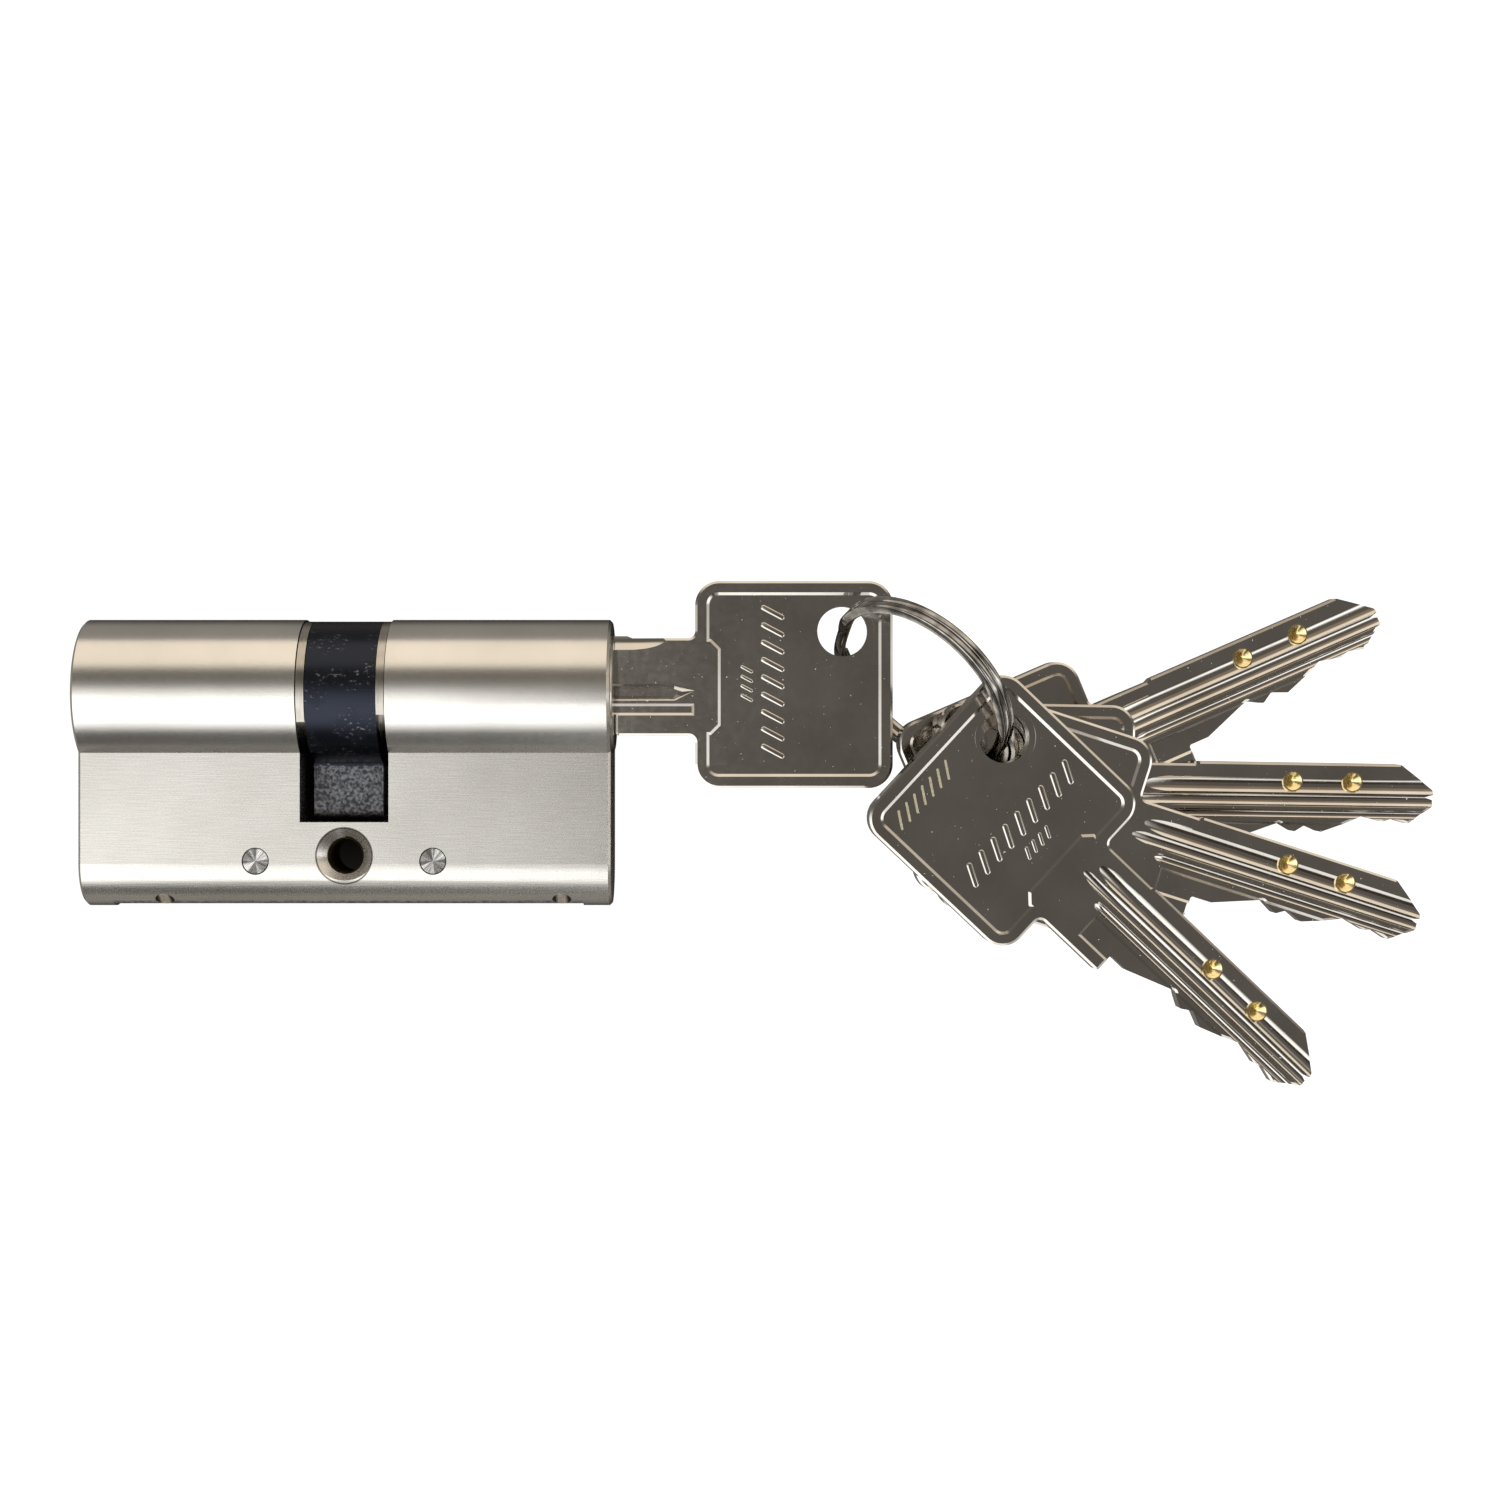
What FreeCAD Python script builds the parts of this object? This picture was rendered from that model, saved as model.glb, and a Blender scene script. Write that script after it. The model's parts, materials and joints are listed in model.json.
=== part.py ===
"""Double profile lock cylinder lying on its side, with five keys on a split ring.

Frame, in millimetres: X runs along the lock axis towards the side that holds the key, Y runs from
the flange up to the barrel, and Z points up from the table that the lock lies on. The origin is on
the axis of the fixing-screw hole, half way through the flange.
A key has its own frame: u along the blade from the shoulder to the tip, v from the cuts to the
spine with v = 0 on the lock axis, and w through the thickness, towards the face with the inserts.
"""
import math
import os

import FreeCAD, Part
from FreeCAD import Placement, Rotation, Vector

X_DIR, Y_DIR, Z_DIR = Vector(1, 0, 0), Vector(0, 1, 0), Vector(0, 0, 1)

# Lock body
AXIS_Y = 18.6              # the lock axis above the fixing-screw hole
HALF_LENGTH = 30.3         # from the middle of the cam slot to each end
BARREL_R = 8.5
FLANGE_W = 10.0
PROFILE_H = 33.0
FLANGE_R = FLANGE_W / 2    # the rounded bottom of the flange
BOTTOM_Y = AXIS_Y + BARREL_R - PROFILE_H
END_CHAMFER = 0.3
SLOT_W = 10.1              # cam slot
SLOT_DEPTH = 14.77         # below the lock axis
SCREW_R = 2.1              # minor radius of the M5 thread
SINK_R, SINK_DEPTH = 3.2, 1.1

# Reinforcing bar under the pin chambers, and the pins that hold it
BAR_HALF, BAR_W = 27.0, 5.0
BAR_TOP, BAR_BOTTOM = 3.2, -5.6
CROSS_X, CROSS_Y, CROSS_R = 10.1, -0.6, 1.55
DRILL_X, DRILL_R, DRILL_TILT = (-20.9, 24.6), 1.1, 57.0

# Plugs
PLUG_R, BORE_R = 6.75, 6.8
PLUG_FACE, PLUG_CHAMFER = HALF_LENGTH + 0.25, 0.25
GROOVE_R, JOURNAL_R = 5.2, 6.2
CLIP_X, CLIP_T, CLIP_R = 4.05, 0.9, 8.3
CLIP_HALF_OPENING = {"outer": 72.0, "inner": 66.0}
OUTER_JOURNAL_END, INNER_JOURNAL_END = 1.95, 2.0
TONGUE_W, TONGUE_L, TONGUE_DEPTH = 3.0, 10.0, 1.2
KEYWAY_HALF, KEYWAY_LOW, KEYWAY_END = 1.25, -2.75, 5.5
KEYWAY_TIP = (3.45, -1.0, 5.2)                  # its end, and its height where only the key's tip goes
FRONT_WARD, BACK_WARD = (1.95, 2.75, -0.9), (-0.1, 0.35, 0.75)   # low and high edge, and inner face
GUARD_R, GUARD_L, GUARD_Z = 0.75, 8.0, 4.2

# Pins
PIN_R, CHAMBER_R = 1.45, 1.5
PIN_FIRST_U, PIN_PITCH, PIN_COUNT = 4.6, 3.9, 5
PIN_TIP_V, PIN_TIP_R = -2.15, 0.4
DRIVER_L, DRIVER_TOP = 4.2, AXIS_Y - BORE_R - 0.05
SPRING_R, SPRING_WALL = 1.35, 0.35
SIDE_PIN_R, SIDE_PIN_V, SIDE_PIN_END = 1.15, 4.45, 3.6

# Cam and clutch
CAM_LEFT, CAM_RIGHT = -3.95, 4.0
CAM_R, CAM_BORE_R = 8.3, 6.27
LEVER_REACH, LEVER_BACK, LEVER_FRONT = 14.2, -2.2, 1.8
CLUTCH_R, TAB_REACH, TAB_W = 6.15, 7.0, 2.0
OUTER_CLUTCH = (0.5, 1.85, 1.85, 3.05)         # disc's ends along X, then its tongue's
INNER_CLUTCH = (-0.9, 0.4, -1.9, -0.9)
CLEAR = 0.1                # all round the parts that slide into one another

# Keys
SHOULDER_X = 30.7
KEY_T, KEY_CHAMFER = 2.3, (0.12, 0.27)         # the rim's chamfer: down the side and across the face
NECK_L, NECK_LOW, NECK_HIGH = 9.15, -4.9, 6.35
BOW_L, BOW_H, BOW_MID, BOW_R = 22.8, 23.9, 1.0, 2.8
BOW_FAR = -NECK_L - BOW_L
SPINE, SPINE_START, HEEL = 6.6, -1.3, -2.5
HOLE_R, HOLE_EDGE = 2.9, 5.8
HOLE_RIM, HOLE_RIM_DEPTH = (3.65, 3.35), 0.1   # the ring pressed round the hole
HOLE_U, HOLE_V = BOW_FAR + HOLE_EDGE, 7.15
FIELD_INSET, FIELD_R, FIELD_DEPTH, FIELD_SLOPE = 1.3, 1.4, 0.15, (0.16, 0.34)
FIELD_STEP, FIELD_STEP_H, FIELD_STEP_CUT = 2.6, 10.4, 0.9
# The cut edge from the heel to the tip: distance from the shoulder, and height
CUTS = [(2.5, -2.5), (8.3, -0.4), (10.2, -1.45), (11.5, -0.65), (13.4, -1.45), (15.8, -0.6),
        (18.3, 0.45), (20.9, -0.15), (21.9, 0.2), (23.9, -0.35)]
TIP = [(26.95, 1.75, 0.3), (26.95, 2.45, 0), (26.0, 2.75, 0), (26.95, 3.05, 0), (26.95, 3.6, 0.5),
       (22.9, SPINE, 1.0)]
GROOVE_END = TIP[0][0] + 2
INSERT_U, INSERT_V, INSERT_R, INSERT_L = (9.9, 17.1), 4.45, 1.2, 1.4
STEP_DEPTH = 0.14          # of the land beside the spine
INSERT_TOP = KEY_T / 2 - STEP_DEPTH
# Grooves: low and high edge, depth, where the run-out ends and where the full depth starts.
# Ledges: low and high edge, depth and where they end.
WIDE_GROOVES = [(3.0, 5.0, 0.42, 1.2 - NECK_L, -2.3), (1.5, 3.2, 0.55, 0.2 - NECK_L, -2.3)]
NARROW_GROOVE = (0.1, 1.15, 0.38, -5.6, -4.2)
FRONT_LEDGE = (-3.4, -0.35, 0.25, -4.5)
WARD_GROOVE = (-0.85, 1.05, 0.5, 0.05 - NECK_L, -6.8)
SPINE_GROOVE = (5.0, 8.2, 0.6, -6.0, -1.4)
LEDGE_SLOPE = 0.3
BACK_LEDGE = (-2.56, -1.2, 0.16, 0.1 - NECK_L)

# Split ring and the four loose keys on it
RING_R, WIRE_W, WIRE_T = 11.38, 1.3, 2.0   # radius of the wire's middle, its radial and axial size
RING_CENTRE = Vector(65.92, 19.58, 2.51)
RING_HEADING, RING_TILT = -44.0, 60.3
FAN_HEADING, FAN_TILT = -15.0, 6.3
# name, heading of the blade, where the middle of its ring hole is
LOOSE_KEYS = [("key_2", -43.1, Vector(74.9, 13.5, 4.95)), ("key_3", -17.7, Vector(75.2, 12.3, 2.5)),
              ("key_4", -1.0, Vector(73.8, 11.7, 0.05)), ("key_5", 23.1, Vector(70.05, 11.2, -2.4))]


def box(low, high):
    """A box between two opposite corners."""
    size = [high[i] - low[i] for i in range(3)]
    return Part.makeBox(*size, Vector(*low))


def rod(radius, start, direction, length):
    return Part.makeCylinder(radius, length, start, direction)


def on_axis(x, up=0.0, z=0.0):
    """A point by its place along the lock axis and its height above it."""
    return Vector(x, AXIS_Y + up, z)


def solid_of(shape):
    """The one solid of a boolean's result, with its split faces joined."""
    return shape.removeSplitter().Solids[0]


def rounded_face(corners):
    """A face at w = 0 from (u, v, radius) corners in order round it, each corner an arc."""
    count = len(corners)
    edges, ends = [], []
    for i, (u, v, radius) in enumerate(corners):
        here = Vector(u, v, 0)
        back = Vector(*corners[i - 1][:2], 0) - here
        on = Vector(*corners[(i + 1) % count][:2], 0) - here
        if radius == 0:
            ends.append((here, None, here))
            continue
        half = back.getAngle(on) / 2
        middle = (back.normalize() + on.normalize()).normalize()
        reach = radius / math.tan(half)
        bulge = here + middle * (radius / math.sin(half) - radius)
        ends.append((here + back * reach, bulge, here + on * reach))
    for i, (first, bulge, last) in enumerate(ends):
        if bulge is not None:
            edges.append(Part.Arc(first, bulge, last).toShape())
        following = ends[(i + 1) % count][0]
        if last.distanceToPoint(following) > 1e-6:
            edges.append(Part.LineSegment(last, following).toShape())
    return Part.Face(Part.Wire(edges))


def edges_at_x(shape, x):
    """The edges that lie in the plane square to the lock axis at x."""
    return [e for e in shape.Edges if abs(e.BoundBox.XMin - x) < 1e-4 and e.BoundBox.XLength < 1e-4]


def slab(corners, low, high):
    """The rounded outline between two heights."""
    face = rounded_face(corners)
    face.translate(Vector(0, 0, low))
    return face.extrude(Vector(0, 0, high - low))


# Lock body and the pieces fixed in it

def pin_places(side):
    """Where the pin chambers are along X: side is +1 for the outer plug and -1 for the inner."""
    return [side * (SHOULDER_X - PIN_FIRST_U - PIN_PITCH * i) for i in range(PIN_COUNT)]


def cross_pin(x):
    return rod(CROSS_R, Vector(x, CROSS_Y, -FLANGE_W / 2), Z_DIR, FLANGE_W)


def anti_drill_pin(x):
    """A short pin set square to the rounded bottom, into the bar."""
    tilt = math.radians(DRILL_TILT)
    outward = Vector(0, -math.sin(tilt), math.cos(tilt))
    middle = Vector(x, BOTTOM_Y + FLANGE_R, 0)
    return rod(DRILL_R, middle + outward * 0.5, outward, FLANGE_R - 0.6)


def anti_drill_hole(x):
    tilt = math.radians(DRILL_TILT)
    outward = Vector(0, -math.sin(tilt), math.cos(tilt))
    middle = Vector(x, BOTTOM_Y + FLANGE_R, 0)
    return rod(DRILL_R, middle + outward * 0.5, outward, FLANGE_R + 1)


def screw_hole():
    hole = rod(SCREW_R, Vector(0, 0, -FLANGE_W), Z_DIR, 2 * FLANGE_W)
    for side in (-1, 1):
        sink = Part.makeCone(SCREW_R, SINK_R + 1, SINK_DEPTH * (SINK_R + 1 - SCREW_R) / (SINK_R - SCREW_R),
                             Vector(0, 0, side * (FLANGE_W / 2 - SINK_DEPTH)), Z_DIR * side)
        hole = hole.fuse(sink)
    return hole


def bar_channel():
    return box((-BAR_HALF, BOTTOM_Y - 1, -BAR_W / 2), (BAR_HALF, BAR_TOP, BAR_W / 2))


def cylinder_body():
    low = Vector(-HALF_LENGTH, AXIS_Y, 0)
    barrel = rod(BARREL_R, low, X_DIR, 2 * HALF_LENGTH)
    round_y = BOTTOM_Y + FLANGE_R
    flange = box((-HALF_LENGTH, round_y, -FLANGE_W / 2), (HALF_LENGTH, AXIS_Y, FLANGE_W / 2))
    bottom = rod(FLANGE_R, Vector(-HALF_LENGTH, round_y, 0), X_DIR, 2 * HALF_LENGTH)
    body = barrel.fuse([flange, bottom]).removeSplitter()
    ends = edges_at_x(body, HALF_LENGTH) + edges_at_x(body, -HALF_LENGTH)
    body = body.makeChamfer(END_CHAMFER, ends)
    across, past = SLOT_W / 2, 2 * BARREL_R
    cutters = [
        rod(BORE_R, Vector(-HALF_LENGTH - 1, AXIS_Y, 0), X_DIR, 2 * HALF_LENGTH + 2),
        box((-across, AXIS_Y - SLOT_DEPTH, -past), (across, AXIS_Y + past, past)),
        screw_hole(),
        bar_channel(),
    ]
    cutters += [cross_pin(side * CROSS_X) for side in (-1, 1)]
    cutters += [anti_drill_hole(x) for x in DRILL_X]
    for side in (-1, 1):
        cutters += [rod(CHAMBER_R, Vector(x, BAR_TOP, 0), Y_DIR, AXIS_Y - BAR_TOP) for x in pin_places(side)]
    return solid_of(body.cut(cutters))


def reinforcing_bar():
    """A steel bar whose lower edge follows the flange's rounded bottom."""
    bar = box((-BAR_HALF, BAR_BOTTOM, -BAR_W / 2), (BAR_HALF, BAR_TOP, BAR_W / 2))
    round_y = BOTTOM_Y + FLANGE_R
    low = rod(FLANGE_R - 0.05, Vector(-BAR_HALF, round_y, 0), X_DIR, 2 * BAR_HALF)
    bar = bar.common(low.fuse(box((-BAR_HALF, round_y, -BAR_W), (BAR_HALF, BAR_TOP, BAR_W))))
    holes = [screw_hole()] + [cross_pin(side * CROSS_X) for side in (-1, 1)]
    return solid_of(bar.cut(holes + [anti_drill_hole(x) for x in DRILL_X]))


def driver_pins(side):
    low = DRIVER_TOP - DRIVER_L
    return Part.Compound([rod(PIN_R, Vector(x, low, 0), Y_DIR, DRIVER_L) for x in pin_places(side)])


def pin_springs(side):
    """Each spring is a thin sleeve of the coil's outer and inner size."""
    length = DRIVER_TOP - DRIVER_L - BAR_TOP
    springs = []
    for x in pin_places(side):
        start = Vector(x, BAR_TOP, 0)
        hollow = rod(SPRING_R - SPRING_WALL, start, Y_DIR, length)
        springs.append(rod(SPRING_R, start, Y_DIR, length).cut(hollow))
    return Part.Compound(springs)


# Plugs and what turns with them, built for the outer side and mirrored for the inner

def keyway():
    """The slot that the blade slides in, with a ward rib on each wall left standing."""
    mouth = PLUG_FACE + 1

    def part(first, last, low, high, z_low, z_high):
        return box((first, AXIS_Y + low, z_low), (last, AXIS_Y + high, z_high))

    main = part(KEYWAY_END, mouth, KEYWAY_LOW, PLUG_R + 1, -KEYWAY_HALF, KEYWAY_HALF)
    end, low, high = KEYWAY_TIP
    tip = part(end, KEYWAY_END + 0.1, low, high, -KEYWAY_HALF, KEYWAY_HALF)
    low, high, face = FRONT_WARD
    front = part(KEYWAY_END, mouth, low, high, -KEYWAY_HALF - 1, face)
    low, high, face = BACK_WARD
    back = part(KEYWAY_END, mouth, low, high, face, KEYWAY_HALF + 1)
    return main.cut([front, back]).fuse(tip)


def guard_pin(z):
    return rod(GUARD_R, on_axis(PLUG_FACE - GUARD_L, 0, z), X_DIR, GUARD_L)


def side_pin_places():
    return [SHOULDER_X - u for u in INSERT_U]


def plug(journal_end):
    start = SLOT_W / 2 + 0.05
    body = rod(PLUG_R, on_axis(start), X_DIR, PLUG_FACE - start)
    body = body.makeChamfer(PLUG_CHAMFER, edges_at_x(body, PLUG_FACE))
    groove = rod(GROOVE_R, on_axis(journal_end), X_DIR, SLOT_W / 2 + 0.1 - journal_end)
    journal = rod(JOURNAL_R, on_axis(journal_end), X_DIR, CLIP_X - 0.02 - journal_end)
    half_w, half_l = (TONGUE_W + CLEAR) / 2, (TONGUE_L + 2 * CLEAR) / 2
    tongue_slot = box((journal_end - 1, AXIS_Y - half_w, -half_l),
                      (journal_end + TONGUE_DEPTH, AXIS_Y + half_w, half_l))
    cutters = [keyway(), tongue_slot, guard_pin(GUARD_Z), guard_pin(-GUARD_Z)]
    for x in pin_places(1):
        cutters.append(rod(CHAMBER_R, on_axis(x, KEYWAY_LOW + 0.5), -Y_DIR, PLUG_R))
    for x in side_pin_places():
        cutters.append(rod(SIDE_PIN_R + 0.05, on_axis(x, SIDE_PIN_V, -1.0), -Z_DIR, PLUG_R))
    return solid_of(body.fuse([groove, journal]).cut(cutters))


def key_pins():
    """The pins on the key's side of the shear line, with pointed tips clear of the teeth."""
    bottom = math.sqrt(PLUG_R ** 2 - PIN_R ** 2) - 0.05
    cone_l = PIN_R - PIN_TIP_R
    pins = []
    for x in pin_places(1):
        shank = rod(PIN_R, on_axis(x, -bottom), Y_DIR, bottom + PIN_TIP_V - cone_l)
        tip = Part.makeCone(PIN_R, PIN_TIP_R, cone_l, on_axis(x, PIN_TIP_V - cone_l), Y_DIR)
        pins.append(shank.fuse(tip).removeSplitter().Solids[0])
    return Part.Compound(pins)


def side_pins():
    """The two small pins that feel the inserts in the key's face."""
    tip_z, cone_l = -KEYWAY_HALF - 0.05, 0.6
    pins = []
    for x in side_pin_places():
        tip = Part.makeCone(SIDE_PIN_R, 0.5, cone_l, on_axis(x, SIDE_PIN_V, tip_z - cone_l), Z_DIR)
        shank_l = SIDE_PIN_END + tip_z - cone_l
        shank = rod(SIDE_PIN_R, on_axis(x, SIDE_PIN_V, -SIDE_PIN_END), Z_DIR, shank_l)
        pins.append(shank.fuse(tip).removeSplitter().Solids[0])
    return Part.Compound(pins)


def guard_pins():
    return Part.Compound([guard_pin(GUARD_Z), guard_pin(-GUARD_Z)])


def c_clip(half_opening):
    """A flat ring round the plug's groove, open on the side of the lever."""
    ring = rod(CLIP_R, on_axis(CLIP_X), X_DIR, CLIP_T)
    ring = ring.cut(rod(GROOVE_R + 0.05, on_axis(CLIP_X), X_DIR, CLIP_T))
    opening = math.radians(half_opening)
    reach = 2 * CLIP_R
    down, out = -reach * math.cos(opening), reach * math.sin(opening)
    outline = [on_axis(0), on_axis(0, down, out), on_axis(0, -reach, out), on_axis(0, -reach, -out),
               on_axis(0, down, -out)]
    wedge = Part.Face(Part.makePolygon(outline + outline[:1])).extrude(Vector(2 * SLOT_W, 0, 0))
    return solid_of(ring.cut(wedge))


def inner(shape):
    """The same piece for the inner side: turned half round the Y axis through the cam slot."""
    copy = shape.copy()
    copy.rotate(Vector(0, 0, 0), Y_DIR, 180)
    return copy


# Cam and clutch

def cam():
    length = CAM_RIGHT - CAM_LEFT
    hub = rod(CAM_R, on_axis(CAM_LEFT), X_DIR, length)
    tip_y = AXIS_Y - LEVER_REACH
    lever = box((CAM_LEFT, tip_y, LEVER_BACK), (CAM_RIGHT, AXIS_Y - CAM_BORE_R, LEVER_FRONT))
    ends = [e for e in lever.Edges if e.BoundBox.YMax < tip_y + 1e-4 and e.BoundBox.XLength > 1]
    lever = lever.makeFillet(0.8, ends)
    bore = rod(CAM_BORE_R, on_axis(CAM_LEFT - 1), X_DIR, length + 2)
    half, reach = TAB_W / 2 + CLEAR / 2, TAB_REACH + CLEAR
    tab_slot = box((CAM_LEFT - 1, AXIS_Y - reach, -half), (CAM_RIGHT + 1, AXIS_Y + reach, half))
    return solid_of(hub.fuse(lever).cut([bore, tab_slot]))


def clutch(low, high, tongue_low, tongue_high):
    """A disc keyed to the cam by two tabs, with a tongue for the end of one plug."""
    disc = rod(CLUTCH_R, on_axis(low), X_DIR, high - low)
    tabs = box((low, AXIS_Y - TAB_REACH, -TAB_W / 2), (high, AXIS_Y + TAB_REACH, TAB_W / 2))
    tongue = box((tongue_low, AXIS_Y - TONGUE_W / 2, -TONGUE_L / 2),
                 (tongue_high, AXIS_Y + TONGUE_W / 2, TONGUE_L / 2))
    return solid_of(disc.fuse([tabs, tongue]))


# Keys

def bow_and_blade():
    """The outline of a key as (u, v, corner radius)."""
    low, high = BOW_MID - BOW_H / 2, BOW_MID + BOW_H / 2
    corners = [(BOW_FAR, low, BOW_R), (-NECK_L, low, BOW_R), (-NECK_L, NECK_LOW, 0.8), (0, NECK_LOW, 0.4),
               (0, HEEL, 0.3)]
    corners += [(u, v, 0.3) for u, v in CUTS]
    corners += TIP
    corners += [(SPINE_START, SPINE, 0), (SPINE_START - 0.6, NECK_HIGH, 0), (-NECK_L, NECK_HIGH, 0.8),
                (-NECK_L, high, BOW_R), (BOW_FAR, high, BOW_R)]
    return corners


def field(face_w, outward):
    """The sunk field of the bow on one face, with the neck standing out into it."""
    low, high = BOW_MID - BOW_H / 2 + FIELD_INSET, BOW_MID + BOW_H / 2 - FIELD_INSET
    far, near = BOW_FAR + FIELD_INSET, -NECK_L - FIELD_INSET
    middle = (NECK_LOW + NECK_HIGH) / 2
    half, step = FIELD_STEP_H / 2, -NECK_L - FIELD_STEP
    bottom, top, cut = middle - half, middle + half, FIELD_STEP_CUT
    corners = [(far, low, FIELD_R), (near, low, FIELD_R), (near, bottom, 0), (step + cut, bottom, 0),
               (step, bottom + cut, 0), (step, top - cut, 0), (step + cut, top, 0), (near, top, 0),
               (near, high, FIELD_R), (far, high, FIELD_R)]
    floor = face_w - outward * FIELD_DEPTH
    tool = slab(corners, *sorted((floor, face_w + outward)))
    around = [e for e in tool.Edges if e.BoundBox.ZLength < 1e-6 and abs(e.BoundBox.ZMin - floor) < 1e-4]
    return tool.makeChamfer(*FIELD_SLOPE, around)


def hole_rim(face_w, outward):
    """The shallow ring pressed round the key's hole."""
    floor = face_w - outward * FIELD_DEPTH
    start = Vector(HOLE_U, HOLE_V, floor - outward * HOLE_RIM_DEPTH)
    outer, inside = (rod(radius, start, Z_DIR * outward, 0.3) for radius in HOLE_RIM)
    return outer.cut(inside)


def pocket(corners, face_w, outward, depth, across):
    """A cutter for a sunk area with an outline of (u, v) corners and sloping sides."""
    cutter = slab([(u, v, 0) for u, v in corners], 0, depth + 1)
    cutter = cutter.makeChamfer(depth, across, [e for e in cutter.Edges if e.BoundBox.ZMax < 1e-6])
    if outward < 0:
        cutter = cutter.mirror(Vector(0, 0, 0), Z_DIR)
    cutter.translate(Vector(0, 0, face_w - outward * depth))
    return cutter


def arrow_groove(face_w, outward, low, high, depth, point_u, full_u):
    """A groove along the blade with a pointed end."""
    corners = [(point_u, high - 0.75), (full_u, low), (GROOVE_END, low), (GROOVE_END, high), (full_u, high)]
    return pocket(corners, face_w, outward, depth, 1.1 * depth)


def ledge(face_w, outward, low, high, depth, end_u):
    """A shallow step along the blade with a square end."""
    corners = [(end_u, low), (GROOVE_END, low), (GROOVE_END, high), (end_u, high)]
    return pocket(corners, face_w, outward, depth, LEDGE_SLOPE)


def round_groove(face_w, outward, low, high, depth, point_u, full_u):
    """A groove with a hollow floor, as a large round-edged cutter leaves it where it lifts out."""
    half, middle = (high - low) / 2, (low + high) / 2
    radius = (half ** 2 + depth ** 2) / (2 * depth)
    over = min(0.3, 0.8 * (radius - depth))
    wide = math.sqrt(radius ** 2 - (radius - depth - over) ** 2)
    low_end, high_end = (Vector(full_u, middle + v, face_w + outward * over) for v in (-wide, wide))
    floor = Vector(full_u, middle, face_w - outward * depth)
    arc = Part.Arc(low_end, floor, high_end).toShape()
    face = Part.Face(Part.Wire([arc, Part.LineSegment(high_end, low_end).toShape()]))
    cutter_r = (full_u - point_u) ** 2 / (2 * depth) + depth / 2
    hub = Vector(full_u, middle, face_w + outward * (cutter_r - depth))
    lift = math.degrees(math.acos(1 - (depth + over) / cutter_r)) + 1
    run_out = face.revolve(hub, Y_DIR * outward, lift)
    return face.extrude(Vector(GROOVE_END - full_u, 0, 0)).fuse(run_out)


def spine_step(face_w, outward):
    """The land between the wide groove and the spine, a little lower than the neck."""
    low, depth, far = WIDE_GROOVES[0][1] - 0.4, STEP_DEPTH, GROOVE_END
    start = SPINE_START - 0.4
    corners = [(start, SPINE + 1, 0), (start, SPINE - 0.2, 0), (start - 0.7, low, 0), (far, low, 0),
               (far, SPINE + 1, 0)]
    return slab(corners, *sorted((face_w - outward * depth, face_w + outward)))


def spine_bevel():
    """Takes the corner off the spine on the insert side, as the rim's chamfer does round the bow."""
    down, across = KEY_CHAMFER
    places = [(SPINE - across, INSERT_TOP), (SPINE + across, INSERT_TOP), (SPINE + across, INSERT_TOP - 2 * down)]
    corners = [Vector(SPINE_START, v, w) for v, w in places]
    return Part.Face(Part.makePolygon(corners + corners[:1])).extrude(X_DIR * (TIP[-1][0] - SPINE_START))


def key():
    half = KEY_T / 2
    blank = slab(bow_and_blade(), -half, half)
    rims = [e for e in blank.Edges if e.BoundBox.ZLength < 1e-6 and e.BoundBox.XMax < 1e-6]
    blank = blank.makeChamfer(*KEY_CHAMFER, rims)
    cutters = [rod(HOLE_R, Vector(HOLE_U, HOLE_V, -KEY_T), Z_DIR, 2 * KEY_T)]
    for outward in (1, -1):
        cutters += [field(outward * half, outward), hole_rim(outward * half, outward)]
    cutters += [round_groove(half, 1, *groove) for groove in WIDE_GROOVES + [NARROW_GROOVE]]
    cutters += [ledge(half, 1, *FRONT_LEDGE), arrow_groove(-half, -1, *WARD_GROOVE),
                round_groove(-half, -1, *SPINE_GROOVE), ledge(-half, -1, *BACK_LEDGE),
                spine_step(half, 1), spine_bevel()]
    cutters += [rod(INSERT_R, Vector(u, INSERT_V, INSERT_TOP - INSERT_L), Z_DIR, KEY_T) for u in INSERT_U]
    return solid_of(blank.cut(cutters))


def key_inserts():
    """Two brass studs let into the land beside the spine, each with a cone pressed into its end."""
    studs = []
    for u in INSERT_U:
        stud = rod(INSERT_R, Vector(u, INSERT_V, INSERT_TOP - INSERT_L), Z_DIR, INSERT_L)
        dimple = Part.makeCone(0.12, 1.05, 0.75, Vector(u, INSERT_V, INSERT_TOP - 0.75), Z_DIR)
        studs.append(stud.cut(dimple).Solids[0])
    return Part.Compound(studs)


def key_in_lock():
    return Placement(Vector(SHOULDER_X, AXIS_Y, 0), Rotation(Y_DIR, 180))


def fan_rotation():
    """The slope that all the loose keys lie at."""
    heading = math.radians(FAN_HEADING)
    return Rotation(Vector(-math.sin(heading), math.cos(heading), 0), FAN_TILT)


def loose_key(heading, hole):
    turn = fan_rotation() * Rotation(Z_DIR, heading)
    return Placement(hole - turn.multVec(Vector(HOLE_U, HOLE_V, 0)), turn)


# Split ring

def ring_rotation():
    """Z goes to the ring's axis: heading points along its level diameter, tilt lifts the other one."""
    return Rotation(Z_DIR, RING_HEADING) * Rotation(X_DIR, RING_TILT)


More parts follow.
